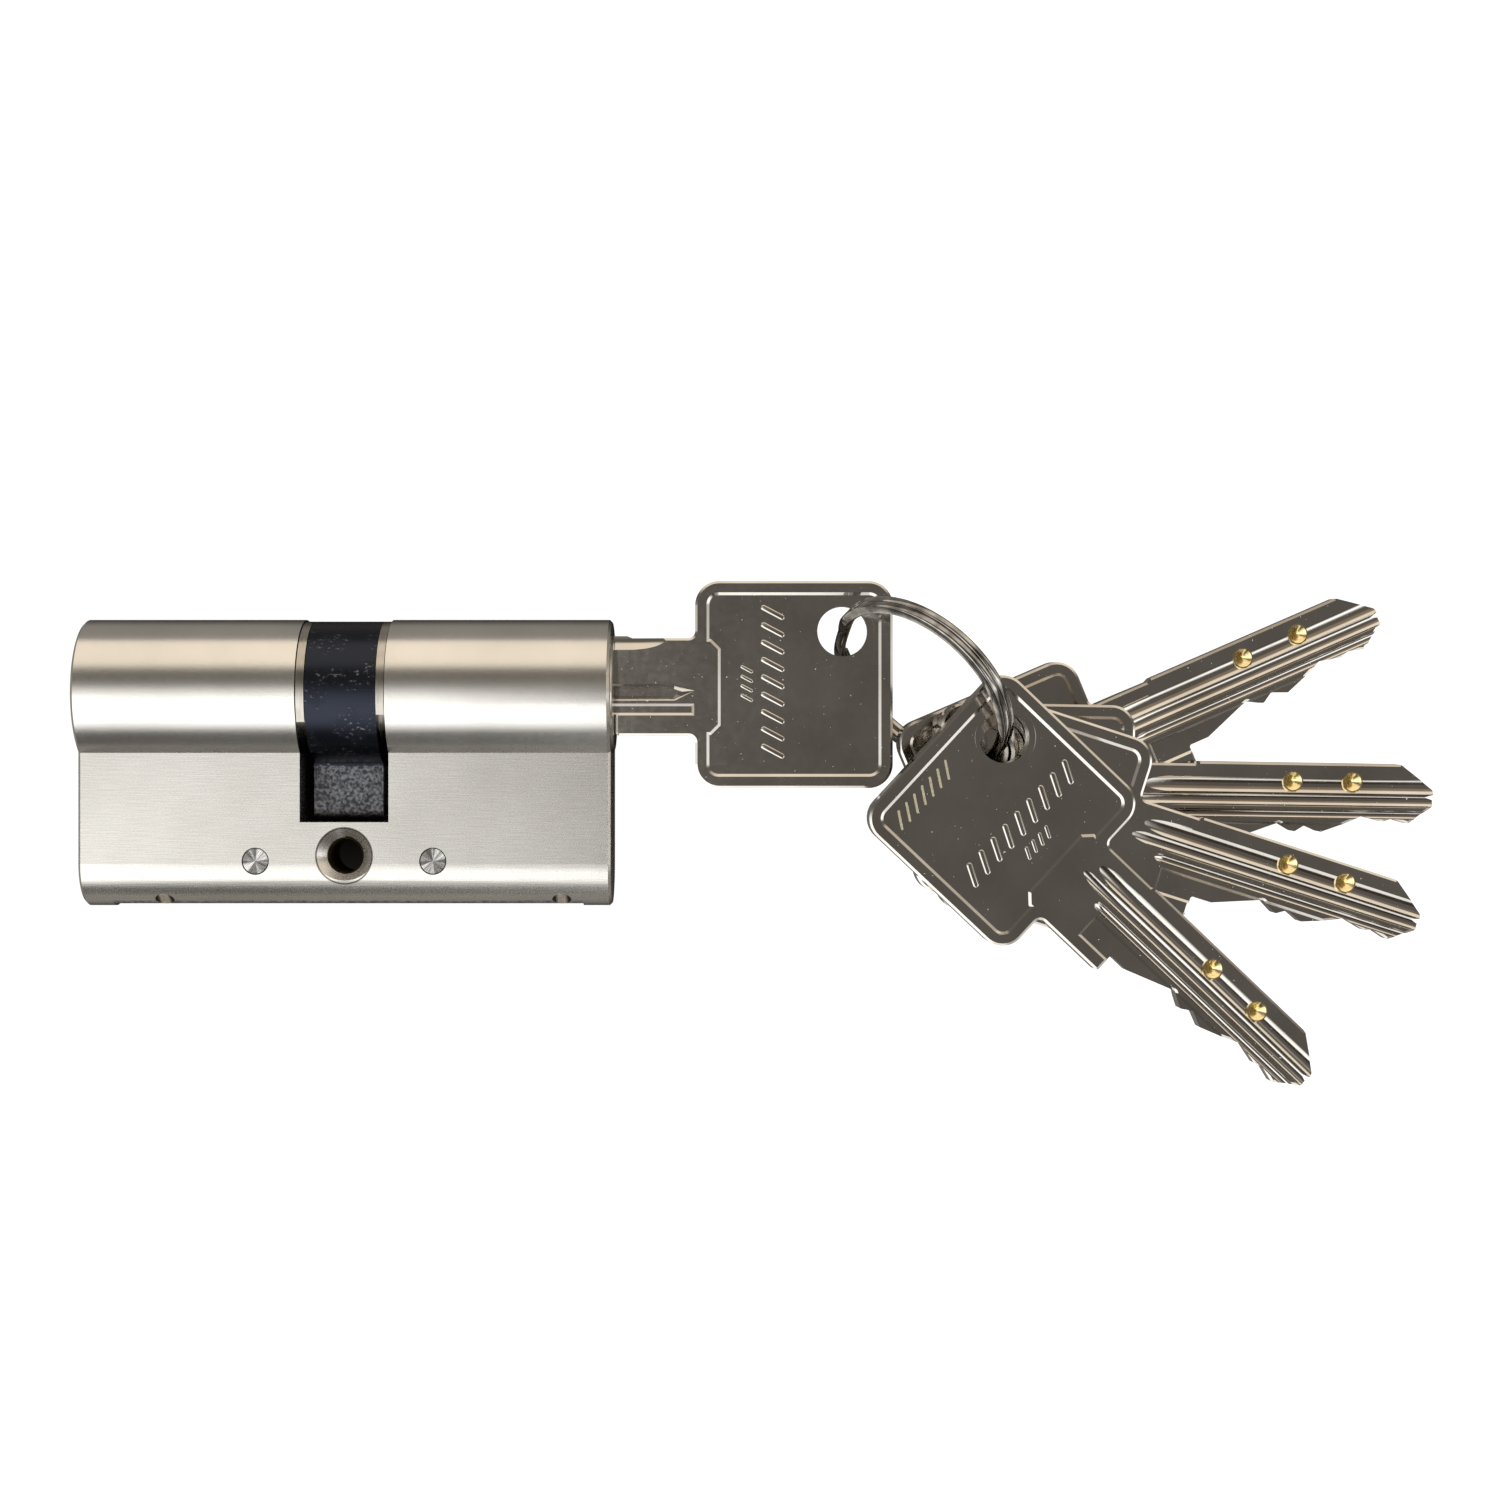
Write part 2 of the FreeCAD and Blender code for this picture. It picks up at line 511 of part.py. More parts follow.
def split_ring():
    """Two turns of flat wire side by side, closed up as one ring with a seam between the turns."""
    outer, inner_r, half = RING_R + WIRE_W / 2, RING_R - WIRE_W / 2, WIRE_T / 2
    seam, corner = 0.18, 0.2
    points = [(inner_r + corner, -half), (outer - corner, -half), (outer, corner - half), (outer, -seam),
              (outer - seam, 0), (outer, seam), (outer, half - corner), (outer - corner, half),
              (inner_r + corner, half), (inner_r, half - corner), (inner_r, seam), (inner_r + seam, 0),
              (inner_r, -seam), (inner_r, corner - half)]
    outline = [Vector(r, 0, z) for r, z in points]
    ring = Part.Face(Part.makePolygon(outline + outline[:1])).revolve(Vector(0, 0, 0), Z_DIR, 360)
    return placed(ring, Placement(RING_CENTRE, ring_rotation()))


def placed(shape, placement):
    copy = shape.copy()
    copy.transformShape(placement.toMatrix(), True)
    return copy


def all_nodes():
    nodes = {
        "cylinder_body": cylinder_body(),
        "reinforcing_bar": reinforcing_bar(),
        "cross_pins": Part.Compound([cross_pin(-CROSS_X), cross_pin(CROSS_X)]),
        "anti_drill_pins": Part.Compound([anti_drill_pin(x) for x in DRILL_X]),
        "outer_plug": plug(OUTER_JOURNAL_END),
        "inner_plug": inner(plug(INNER_JOURNAL_END)),
        "cam": cam(),
        "outer_clutch": clutch(*OUTER_CLUTCH),
        "inner_clutch": clutch(*INNER_CLUTCH),
        "split_ring": split_ring(),
    }
    for side, name in ((1, "outer"), (-1, "inner")):
        nodes[name + "_driver_pins"] = driver_pins(side)
        nodes[name + "_pin_springs"] = pin_springs(side)
    plug_pieces = {"key_pins": key_pins(), "side_pins": side_pins(), "guard_pins": guard_pins()}
    for name, shape in plug_pieces.items():
        nodes["outer_" + name] = shape
        nodes["inner_" + name] = inner(shape)
    nodes["outer_c_clip"] = c_clip(CLIP_HALF_OPENING["outer"])
    nodes["inner_c_clip"] = inner(c_clip(CLIP_HALF_OPENING["inner"]))
    one_key, inserts = key(), key_inserts()
    places = [("key_1", key_in_lock())]
    places += [(name, loose_key(heading, hole)) for name, heading, hole in LOOSE_KEYS]
    for name, place in places:
        nodes[name] = placed(one_key, place)
        nodes[name + "_inserts"] = placed(inserts, place)
    return nodes


os.makedirs("parts", exist_ok=True)
for node, shape in all_nodes().items():
    shape.exportStep("parts/" + node + ".step")
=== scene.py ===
"""Double profile lock cylinder with five keys on a split ring, seen from straight above.

Metres throughout, in the CAD model's frame: X along the lock axis towards the keyed end, Z up from
the table, the origin at the fixing-screw hole. Values times MM are written in millimetres.
"""

import json
import math

import bmesh
import bpy
from mathutils import Matrix, Vector


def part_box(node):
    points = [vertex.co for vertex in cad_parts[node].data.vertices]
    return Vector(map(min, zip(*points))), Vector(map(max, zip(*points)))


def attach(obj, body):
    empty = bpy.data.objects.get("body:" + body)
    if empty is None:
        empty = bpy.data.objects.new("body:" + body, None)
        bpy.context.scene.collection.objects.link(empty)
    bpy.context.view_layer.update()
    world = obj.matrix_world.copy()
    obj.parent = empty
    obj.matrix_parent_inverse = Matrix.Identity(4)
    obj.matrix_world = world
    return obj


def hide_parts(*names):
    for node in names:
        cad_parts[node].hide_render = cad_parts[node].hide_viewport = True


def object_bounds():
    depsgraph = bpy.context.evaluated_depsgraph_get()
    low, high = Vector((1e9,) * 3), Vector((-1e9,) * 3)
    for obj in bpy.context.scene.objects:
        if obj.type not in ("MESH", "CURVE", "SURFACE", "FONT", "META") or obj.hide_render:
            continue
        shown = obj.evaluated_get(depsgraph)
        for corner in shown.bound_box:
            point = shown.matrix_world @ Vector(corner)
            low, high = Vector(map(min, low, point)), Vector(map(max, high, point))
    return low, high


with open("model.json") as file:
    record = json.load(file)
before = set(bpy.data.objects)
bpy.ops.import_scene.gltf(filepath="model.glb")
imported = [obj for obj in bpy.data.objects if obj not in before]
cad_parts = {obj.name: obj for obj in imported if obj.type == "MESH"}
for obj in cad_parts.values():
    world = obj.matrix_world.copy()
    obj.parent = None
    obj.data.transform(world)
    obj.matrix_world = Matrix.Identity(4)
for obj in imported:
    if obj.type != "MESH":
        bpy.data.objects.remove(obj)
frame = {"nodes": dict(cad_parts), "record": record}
CAD_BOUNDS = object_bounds()

MM = 0.001

# Camera: straight down, with its focal length in mm for a sensor 36 mm wide
CAMERA_AT = Vector((45.95, 12.28, 284.0)) * MM
SENSOR, LENS = 36.0, 59.02941176470588

# Lock
AXIS_Y = 18.6 * MM                                 # the lock axis
FLANGE_TOP_Y = 11.73 * MM                          # where the flange meets the barrel
LEVER_TOP_Y = AXIS_Y - 8.35 * MM                   # where the cam's lever leaves its hub
CROSS_PIN_X, CROSS_PIN_Y, CROSS_PIN_R = 10.1 * MM, -0.6 * MM, 1.55 * MM
SINK_R = 3.2 * MM                                  # the countersink of the fixing-screw hole
DRILL_MID_X, DRILL_HALF_X = 1.85 * MM, 22.75 * MM  # the anti-drill pins lie this far from their middle

# Thread in the fixing-screw hole: the ridge's radii, and its half widths at root and crest
THREAD_ROOT_R, THREAD_CREST_R = 2.13 * MM, 1.9 * MM
THREAD_ROOT_HALF, THREAD_CREST_HALF = 0.39 * MM, 0.05 * MM
THREAD_PITCH, THREAD_HALF_L, THREAD_STEPS = 0.8 * MM, 3.7 * MM, 32

# Keys: u runs from the shoulder to the tip, v from the cuts to the spine, w towards the insert face
SHOULDER = Vector((30.7, 18.6, 0.0)) * MM
HOLE_U, HOLE_V = -26.15 * MM, 7.15 * MM
FIELD_FLOOR = 1.0 * MM                             # height of the sunk field above the key's middle
FAN_HEADING, FAN_TILT = math.radians(-15.0), math.radians(6.3)
LOOSE_KEYS = {                                     # heading in degrees, and where the ring hole is
    "key_2": (-43.1, (74.9, 13.5, 4.95)),
    "key_3": (-17.7, (75.2, 12.3, 2.5)),
    "key_4": (-1.0, (73.8, 11.7, 0.05)),
    "key_5": (23.1, (70.05, 11.2, -2.4)),
}

# Rows of bars on the bows: middle, number, pitch, and a bar's half length, half width and height
LONG_ROW = ((-18.1 * MM, 1.3 * MM), 9, 2.0 * MM, 1.5 * MM, 0.32 * MM, 0.15 * MM)
SHORT_ROW = ((-15.1 * MM, 1.1 * MM), 4, 1.1 * MM, 0.8 * MM, 0.2 * MM, 0.11 * MM)
BAR_LEAN, BAR_SINK = 28, 0.04 * MM
HATCH_MIDDLE, HATCH_COUNT, HATCH_PITCH = (-28.45 * MM, -3.9 * MM), 7, 1.3 * MM
HATCH_HALF_L, HATCH_HALF_W, HATCH_LEAN = 1.15 * MM, 0.14 * MM, 35
HATCH_LEVELS = (-0.02 * MM, 0.012 * MM)            # bottom and top of a line, from the field

# Split ring: WIRE_W runs across the ring and WIRE_T along its axis
RING_CENTRE = Vector((65.92, 19.58, 2.51)) * MM
RING_HEADING, RING_TILT = math.radians(-44.0), math.radians(60.3)
RING_R, WIRE_W, WIRE_T, WIRE_CORNER = 11.38 * MM, 1.26 * MM, 0.96 * MM, 0.3 * MM
TURN_GAP = 0.03 * MM
STEP_AT, STEP_HALF = math.radians(205), math.radians(11)   # the step from one turn to the other
COIL_STEPS, TAPER_STEPS, TAPER_FROM = 300, 4, 0.55

FLOOR_HALF, FLOOR_GAP = 2.0, 0.02 * MM
BUMP_DISTANCE = 0.05 * MM


# Shader helpers

class Graph:
    """A node tree with short ways to add and join nodes."""

    def __init__(self, tree):
        self.tree = tree
        tree.nodes.clear()

    def add(self, kind, inputs=None, **settings):
        node = self.tree.nodes.new(kind)
        for name, value in settings.items():
            setattr(node, name, value)
        for key, value in (inputs or {}).items():
            self.put(node.inputs[key], value)
        return node

    def put(self, socket, value):
        if isinstance(value, bpy.types.NodeSocket):
            self.tree.links.new(value, socket)
        else:
            socket.default_value = value

    def math(self, operation, a, b=0.0):
        return self.add("ShaderNodeMath", {0: a, 1: b}, operation=operation).outputs[0]

    def plus(self, a, b):
        return self.math("ADD", a, b)

    def minus(self, a, b):
        return self.math("SUBTRACT", a, b)

    def times(self, a, b):
        return self.math("MULTIPLY", a, b)

    def size(self, value):
        return self.math("ABSOLUTE", value)

    def length(self, a, b):
        return self.math("SQRT", self.plus(self.times(a, a), self.times(b, b)))

    def rings(self, radius, pitch):
        """A wave along the radius, for turning marks."""
        return self.math("SINE", self.times(radius, 2 * math.pi / pitch))

    def split(self, where):
        """The x, y and z of a vector."""
        return self.add("ShaderNodeSeparateXYZ", {0: where}).outputs

    def ramp(self, value, stops):
        """A colour ramp from (position, colour) stops."""
        node = self.add("ShaderNodeValToRGB", {"Fac": value})
        elements = node.color_ramp.elements
        while len(elements) < len(stops):
            elements.new(0.5)
        for element, (position, colour) in zip(elements, stops):
            element.position = position
            element.color = (*colour, 1)
        return node.outputs["Color"]

    def fit(self, value, low, high, new_low=0.0, new_high=1.0):
        """value from low..high to new_low..new_high, held at the ends."""
        node = self.add("ShaderNodeMapRange", {"Value": value, "From Min": low, "From Max": high,
                                               "To Min": new_low, "To Max": new_high})
        return node.outputs["Result"]

    def mix(self, factor, a, b):
        """The colour a where the factor is 0 and b where it is 1."""
        node = self.add("ShaderNodeMix", {"Factor": factor}, data_type="RGBA")
        self.put(node.inputs[6], a if isinstance(a, bpy.types.NodeSocket) else (*a, 1))
        self.put(node.inputs[7], b if isinstance(b, bpy.types.NodeSocket) else (*b, 1))
        return node.outputs[2]

    def noise(self, where, scale, detail=2.0, stretch=(1, 1, 1), roughness=0.5):
        """Noise with features of about 1 / scale metres, drawn out along the axes with small stretch."""
        mapped = self.add("ShaderNodeMapping", {"Vector": where, "Scale": stretch}).outputs[0]
        node = self.add("ShaderNodeTexNoise", {"Vector": mapped, "Scale": scale, "Detail": detail,
                                               "Roughness": roughness})
        return node.outputs["Fac"]


def material(name, metallic, build):
    """A new material. build(graph, where) gives the shader's inputs and a bump (height, strength)."""
    made = bpy.data.materials.new(name)
    made.use_nodes = True
    graph = Graph(made.node_tree)
    where = graph.add("ShaderNodeTexCoord").outputs["Object"]
    inputs, bump = build(graph, where)
    shader = graph.add("ShaderNodeBsdfPrincipled", {"Metallic": metallic, **inputs})
    if bump:
        height, strength = bump
        lifted = graph.add("ShaderNodeBump",
                           {"Height": height, "Strength": strength, "Distance": BUMP_DISTANCE})
        graph.put(shader.inputs["Normal"], lifted.outputs[0])
    graph.add("ShaderNodeOutputMaterial", {"Surface": shader.outputs[0]})
    return made


# Materials: each function gives the shader's inputs and the bump

def satin_nickel(graph, where):
    """Blasted barrel, the flange's flat sides brushed along the lock, and a thin line of painted shade
    round the sink's rim.
    """
    x, y, _ = graph.split(where)
    flange = graph.math("LESS_THAN", y, FLANGE_TOP_Y)
    grain = graph.noise(where, 5200, 3.0)
    swirl = graph.noise(where, 1300, 2.0, (0.35, 1.0, 1.0))
    brushing = graph.noise(where, 7000, 3.0, (0.04, 1.0, 1.0))
    tone = graph.noise(where, 90, 3.0)
    fine = graph.plus(graph.times(grain, 0.8), graph.times(swirl, 0.5))
    height = graph.add("ShaderNodeMix", {"Factor": flange, 2: fine, 3: brushing}).outputs[0]
    colour = graph.mix(graph.fit(tone, 0.35, 0.65), (0.72, 0.70, 0.66), (0.79, 0.77, 0.73))
    streaks = graph.times(flange, graph.fit(brushing, 0.35, 0.65, 0.16, 0.0))
    colour = graph.mix(streaks, colour, (0.42, 0.405, 0.38))
    # painted shade: a thin dark line on the flange round the countersink's rim
    off = graph.size(graph.minus(graph.length(x, y), SINK_R))
    line = graph.times(flange, graph.fit(off, 0.05 * MM, 0.13 * MM, 0.9, 0.0))
    colour = graph.mix(line, colour, (0.10, 0.085, 0.065))
    rough = graph.plus(graph.fit(grain, 0.3, 0.7, 0.19, 0.26), graph.times(flange, 0.05))
    return {"Base Color": colour, "Roughness": rough}, (height, 0.11)


def plug_nickel(graph, where):
    """Turned plug ends: fine rings round the lock axis."""
    _, y, z = graph.split(where)
    rings = graph.rings(graph.length(graph.minus(y, AXIS_Y), z), 0.16 * MM)
    tone = graph.noise(where, 400, 3.0)
    colour = graph.mix(tone, (0.60, 0.575, 0.53), (0.74, 0.715, 0.67))
    return {"Base Color": colour, "Roughness": graph.fit(tone, 0.3, 0.7, 0.18, 0.30)}, (rings, 0.12)


def key_nickel(graph, where):
    """Polished plate over pressed brass: a faint orange peel, hairline scratches and specks of dust."""
    peel = graph.noise(where, 1500, 3.0)
    speckle = graph.noise(where, 6500, 2.0)
    scratches = graph.noise(where, 2600, 2.0, (0.06, 1.0, 1.0))
    tone = graph.noise(where, 130, 3.0)
    height = graph.plus(graph.times(peel, 0.6), graph.times(speckle, 0.6))
    height = graph.plus(height, graph.times(graph.fit(scratches, 0.62, 0.72), 0.25))
    dust = graph.fit(graph.noise(where, 3300, 1.0), 0.765, 0.81)
    colour = graph.mix(graph.fit(tone, 0.3, 0.7), (0.60, 0.56, 0.51), (0.72, 0.69, 0.645))
    colour = graph.mix(dust, colour, (0.95, 0.95, 0.93))
    rough = graph.plus(graph.fit(peel, 0.3, 0.7, 0.09, 0.13), graph.times(dust, 0.5))
    return {"Base Color": colour, "Roughness": rough}, (height, 0.035)


def black_oxide_steel(graph, where):
    """Black oxide with scuffs on the cam's hub, and the lever's grainy sintered face."""
    lever = graph.math("LESS_THAN", graph.split(where)[1], LEVER_TOP_Y)
    specks = graph.fit(graph.noise(where, 3000, 4.0, (0.6, 1.0, 1.0), 0.66), 0.585, 0.66)
    patches = graph.fit(graph.noise(where, 300, 2.0), 0.47, 0.60, 0.0, 0.8)
    scuffs = graph.times(specks, patches)
    hub = graph.mix(scuffs, (0.030, 0.034, 0.047), (0.30, 0.31, 0.34))
    crumbs = graph.noise(where, 3000, 3.0)
    sinter = graph.mix(graph.fit(crumbs, 0.40, 0.64), (0.07, 0.073, 0.085), (0.30, 0.305, 0.33))
    height = graph.plus(graph.times(crumbs, graph.times(lever, 2.0)), scuffs)
    rough = graph.plus(graph.fit(patches, 0.0, 1.0, 0.26, 0.36), graph.times(lever, 0.2))
    return {"Base Color": graph.mix(lever, hub, sinter), "Roughness": rough}, (height, 0.4)


def thread_painted_shade(graph, where):
    """The threaded hole's wall, coloured a near-black brown as painted shade, since hardly any light
    reaches it.
    """
    wall_noise = graph.noise(where, 1800, 2.0)
    # painted shade: the thread's colour is a near-black brown that stands for the shade in the bore
    colour = graph.mix(wall_noise, (0.05, 0.035, 0.015), (0.13, 0.09, 0.04))
    return {"Base Color": colour, "Roughness": graph.fit(wall_noise, 0.3, 0.7, 0.3, 0.5)}, (wall_noise, 0.2)


def ring_steel(graph, where):
    """Hardened flat wire, drawn and then tumbled."""
    lines = graph.noise(where, 5000, 2.0)
    tone = graph.noise(where, 420, 2.0)
    colour = graph.mix(graph.fit(tone, 0.35, 0.65), (0.17, 0.16, 0.15), (0.50, 0.485, 0.465))
    return {"Base Color": colour, "Roughness": graph.fit(lines, 0.3, 0.7, 0.06, 0.12)}, (lines, 0.04)


def bright_steel(graph, where):
    """Stamped sheet with faint rolling lines."""
    lines = graph.noise(where, 4000, 2.0, (1.0, 0.1, 0.1))
    tone = graph.noise(where, 500, 2.0)
    colour = graph.mix(tone, (0.36, 0.33, 0.29), (0.62, 0.59, 0.54))
    return {"Base Color": colour, "Roughness": graph.fit(lines, 0.3, 0.7, 0.14, 0.26)}, (lines, 0.10)


def hard_steel(graph, where):
    """Turned pin ends, with marks left by the tool."""
    marks = graph.noise(where, 1500, 3.0)
    fine = graph.noise(where, 7000, 2.0)
    colour = graph.mix(graph.fit(marks, 0.35, 0.65), (0.30, 0.295, 0.29), (0.80, 0.79, 0.77))
    height = graph.plus(marks, graph.times(fine, 0.3))
    return {"Base Color": colour, "Roughness": graph.fit(fine, 0.3, 0.7, 0.16, 0.30)}, (height, 0.8)


def cross_pin_steel(graph, where):
    """The pins' turned ends: radial highlights and shade painted in light and dark round each centre,
    and a thin dark outline.
    """
    part_x, part_y, _ = graph.split(where)
    x, y = graph.minus(graph.size(part_x), CROSS_PIN_X), graph.minus(part_y, CROSS_PIN_Y)
    radius, angle = graph.length(x, y), graph.math("ARCTAN2", y, x)
    sine, cosine = graph.math("SINE", angle), graph.math("COSINE", angle)
    round_centre = graph.add("ShaderNodeCombineXYZ", {0: sine, 1: cosine, 2: part_x}).outputs[0]
    # painted highlight: radial streaks of light and dark in the colour round each pin's centre
    highlight_fan = graph.noise(round_centre, 2.6, 3.0, (1.0, 1.0, 90.0))
    outline = graph.fit(radius, CROSS_PIN_R - 0.17 * MM, CROSS_PIN_R - 0.09 * MM)
    colour = graph.mix(graph.fit(highlight_fan, 0.38, 0.62), (0.20, 0.195, 0.19), (0.88, 0.87, 0.85))
    colour = graph.mix(outline, colour, (0.035, 0.032, 0.03))
    rings = graph.rings(radius, 0.14 * MM)
    return {"Base Color": colour, "Roughness": graph.fit(highlight_fan, 0.3, 0.7, 0.30, 0.16)}, (rings, 0.3)


def drill_pin_steel(graph, where):
    """The anti-drill pins' ends: creamy plate, bright as a painted highlight, with painted shade that
    turns it dark towards the left and right.
    """
    from_middle = graph.size(graph.minus(graph.split(where)[0], DRILL_MID_X))
    # painted shade: the pin ends turn dark towards their left and right sides
    side = graph.fit(graph.size(graph.minus(from_middle, DRILL_HALF_X)), 0.38 * MM, 0.72 * MM)
    marks = graph.noise(where, 2600, 3.0)
    colour = graph.mix(graph.fit(marks, 0.35, 0.65), (0.80, 0.72, 0.56), (1.0, 0.96, 0.86))
    colour = graph.mix(side, colour, (0.05, 0.04, 0.03))
    return {"Base Color": colour, "Roughness": graph.fit(marks, 0.3, 0.7, 0.2, 0.4)}, (marks, 0.4)


def brass(graph, where):
    """Bare brass with fine turning marks."""
    cuts = graph.noise(where, 3500, 3.0)
    colour = graph.mix(graph.fit(cuts, 0.3, 0.7), (0.86, 0.64, 0.27), (0.99, 0.86, 0.52))
    return {"Base Color": colour, "Roughness": graph.fit(cuts, 0.3, 0.7, 0.12, 0.24)}, (cuts, 0.25)


def spring_steel(graph, where):
    """Drawn wire and sheet, a little dull."""
    lines = graph.noise(where, 3000, 2.0, (1.0, 12.0, 1.0))
    colour = graph.mix(lines, (0.35, 0.35, 0.35), (0.62, 0.61, 0.60))
    return {"Base Color": colour, "Roughness": graph.fit(lines, 0.3, 0.7, 0.22, 0.36)}, (lines, 0.3)


def etched_gold(graph, where):
    """The pale matt line that a marking laser leaves on nickel."""
    dots = graph.noise(where, 9000, 2.0)
    colour = graph.mix(graph.fit(dots, 0.35, 0.65), (0.60, 0.55, 0.38), (0.82, 0.77, 0.58))
    return {"Base Color": colour, "Roughness": graph.fit(dots, 0.3, 0.7, 0.45, 0.6)}, (dots, 0.2)


def floor_white(graph, where):
    """A sheet that glows white where it is looked at but lights little, with painted shade under and
    round the lock.
    """
    part = graph.split(where)
    low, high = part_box("cylinder_body")
    outside = -1.0                                 # how far out of the lock's box, below 0 within it
    for axis in (0, 1):
        middle, half = (low[axis] + high[axis]) / 2, (high[axis] - low[axis]) / 2
        off = graph.size(graph.minus(part[axis], middle))
        outside = graph.math("MAXIMUM", outside, graph.minus(off, half))
    cloud = graph.noise(where, 4, 2.0)
    colour = graph.mix(cloud, (0.34, 0.332, 0.32), (0.36, 0.352, 0.34))
    # painted shade: the floor's colour turns near black under the lock and fades back out 2 to 14 mm
    # round its box
    colour = graph.mix(graph.fit(outside, 2 * MM, 14 * MM), (0.03, 0.028, 0.026), colour)
    seen = graph.add("ShaderNodeLightPath").outputs["Is Camera Ray"]
    # painted shade: the glow is cut out under the lock, so the floor seen through the screw hole stays
    # dark
    glow = graph.times(seen, graph.fit(outside, -3.5 * MM, -1.5 * MM))
    return {"Base Color": colour, "Roughness": 0.9, "Specular IOR Level": 0.0,
            "Emission Color": (1, 1, 1, 1), "Emission Strength": glow}, None


LOOKS = {                                          # how metallic each is, and its function
    "satin_nickel": (1.0, satin_nickel),
    "plug_nickel": (1.0, plug_nickel),
    "key_nickel": (1.0, key_nickel),
    "insert_brass": (1.0, brass),
    "pin_brass": (1.0, brass),
    "black_oxide_steel": (1.0, black_oxide_steel),
    "bright_steel": (1.0, bright_steel),
    "spring_steel": (1.0, spring_steel),
    "ring_steel": (1.0, ring_steel),
    "hard_steel": (1.0, hard_steel),
    "cross_pin_steel": (1.0, cross_pin_steel),
    "drill_pin_steel": (1.0, drill_pin_steel),
    "etched_gold": (0.6, etched_gold),
    "thread_painted_shade": (0.8, thread_painted_shade),
}
MATERIALS = {name: material(name, metallic, build) for name, (metallic, build) in LOOKS.items()}
NODE_MATERIALS = {"cross_pins": "cross_pin_steel", "anti_drill_pins": "drill_pin_steel"}


def dress_nodes():
    """Gives every CAD node its own material, or else the material of its slot."""
    for part in frame["record"]["subparts"]:
        mesh = frame["nodes"][part["node"]].data
        mesh.materials.clear()
        mesh.materials.append(MATERIALS[NODE_MATERIALS.get(part["node"], part["material_slot"])])


# Pieces added to the CAD model

def add_piece(name, bm, look, body):
    """Turns a bmesh into a piece that rides on a body, with its look's material."""
    bmesh.ops.recalc_face_normals(bm, faces=bm.faces)
    mesh = bpy.data.meshes.new(name)
    bm.to_mesh(mesh)
    bm.free()
    piece = bpy.data.objects.new(name, mesh)
    mesh.materials.append(MATERIALS[look])
    bpy.context.collection.objects.link(piece)
    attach(piece, body)
    return piece


def shade_smooth(piece, angle=40):
    """Smooth shading, with edges sharper than the angle kept."""
    piece.data.shade_smooth()
    bm = bmesh.new()
    bm.from_mesh(piece.data)
    for edge in bm.edges:
        if len(edge.link_faces) == 2 and edge.calc_face_angle() > math.radians(angle):
            edge.smooth = False
    bm.to_mesh(piece.data)
    bm.free()


def sweep(bm, rings):
    """Joins rings of points into a skin that is capped at both ends."""
    loops = [[bm.verts.new(point) for point in ring] for ring in rings]
    for first, second in zip(loops, loops[1:]):
        for i in range(len(first)):
            k = (i + 1) % len(first)
            bm.faces.new((first[i], first[k], second[k], second[i]))
    bm.faces.new(loops[0][::-1])
    bm.faces.new(loops[-1])


def capsule(half_l, half_w, lean, steps=6):
    """The outline of a bar with round ends, long along v and then turned by lean."""
    points = []
    for end, start in ((1, 0), (-1, math.pi)):
        for i in range(steps + 1):
            a = math.pi * i / steps + start
            points.append((half_w * math.cos(a), end * (half_l - half_w) + half_w * math.sin(a)))
    c, s = math.cos(lean), math.sin(lean)
    return [(c * u - s * v, s * u + c * v) for u, v in points]


def raised_bar(bm, centre, half_l, half_w, height, face, place):
    """One pressed-up bar on a key's face: face is +1 for the insert side and -1 for the back."""
    lean = math.radians(90 - BAR_LEAN * face)
    levels = ((1.0, -BAR_SINK), (1.0, 0.5 * height), (0.75, 0.9 * height), (0.4, height))
    rings = []
    for share, rise in levels:
        outline = capsule(half_l - (1 - share) * half_w, half_w * share, lean)
        rings.append([place @ Vector((centre[0] + u, centre[1] + v, face * (FIELD_FLOOR + rise)))
                      for u, v in outline])
    sweep(bm, rings)


def row_points(middle, count, pitch):
    """The centres of a row along v."""
    return [(middle[0], middle[1] + (i - (count - 1) / 2) * pitch) for i in range(count)]


def key_places():
    """Where each key's own frame is in the model's frame, by name."""
    places = {"key_1": Matrix.Translation(SHOULDER) @ Matrix.Rotation(math.pi, 4, "Y")}
    slope = Matrix.Rotation(FAN_TILT, 4, Vector((-math.sin(FAN_HEADING), math.cos(FAN_HEADING), 0)))
    from_hole = Matrix.Translation((-HOLE_U, -HOLE_V, 0))
    for name, (heading, hole) in LOOSE_KEYS.items():
        turn = slope @ Matrix.Rotation(math.radians(heading), 4, "Z")
        places[name] = Matrix.Translation(Vector(hole) * MM) @ turn @ from_hole
    return places


def bow_marks(name, place, body):
    """Plain pressed bars on both faces of a bow: a long row of slanted ones and a short row."""
    bm = bmesh.new()
    for face in (1, -1):
        for middle, count, pitch, half_l, half_w, height in (LONG_ROW, SHORT_ROW):
            for centre in row_points(middle, count, pitch):
                raised_bar(bm, centre, half_l, half_w, height, face, place)
    shade_smooth(add_piece(name + "_bow_bars", bm, "key_nickel", body))


def etched_marks(name, place, body):
    """A small hatch left by a marking laser on the insert face of a bow."""
    bm = bmesh.new()
    outline = capsule(HATCH_HALF_L, HATCH_HALF_W, math.radians(90 - HATCH_LEAN))
    for u, v in row_points(HATCH_MIDDLE, HATCH_COUNT, HATCH_PITCH):
        sweep(bm, [[place @ Vector((u + du, v + dv, FIELD_FLOOR + rise)) for du, dv in outline]
                   for rise in HATCH_LEVELS])
    add_piece(name + "_etched_hatch", bm, "etched_gold", body)


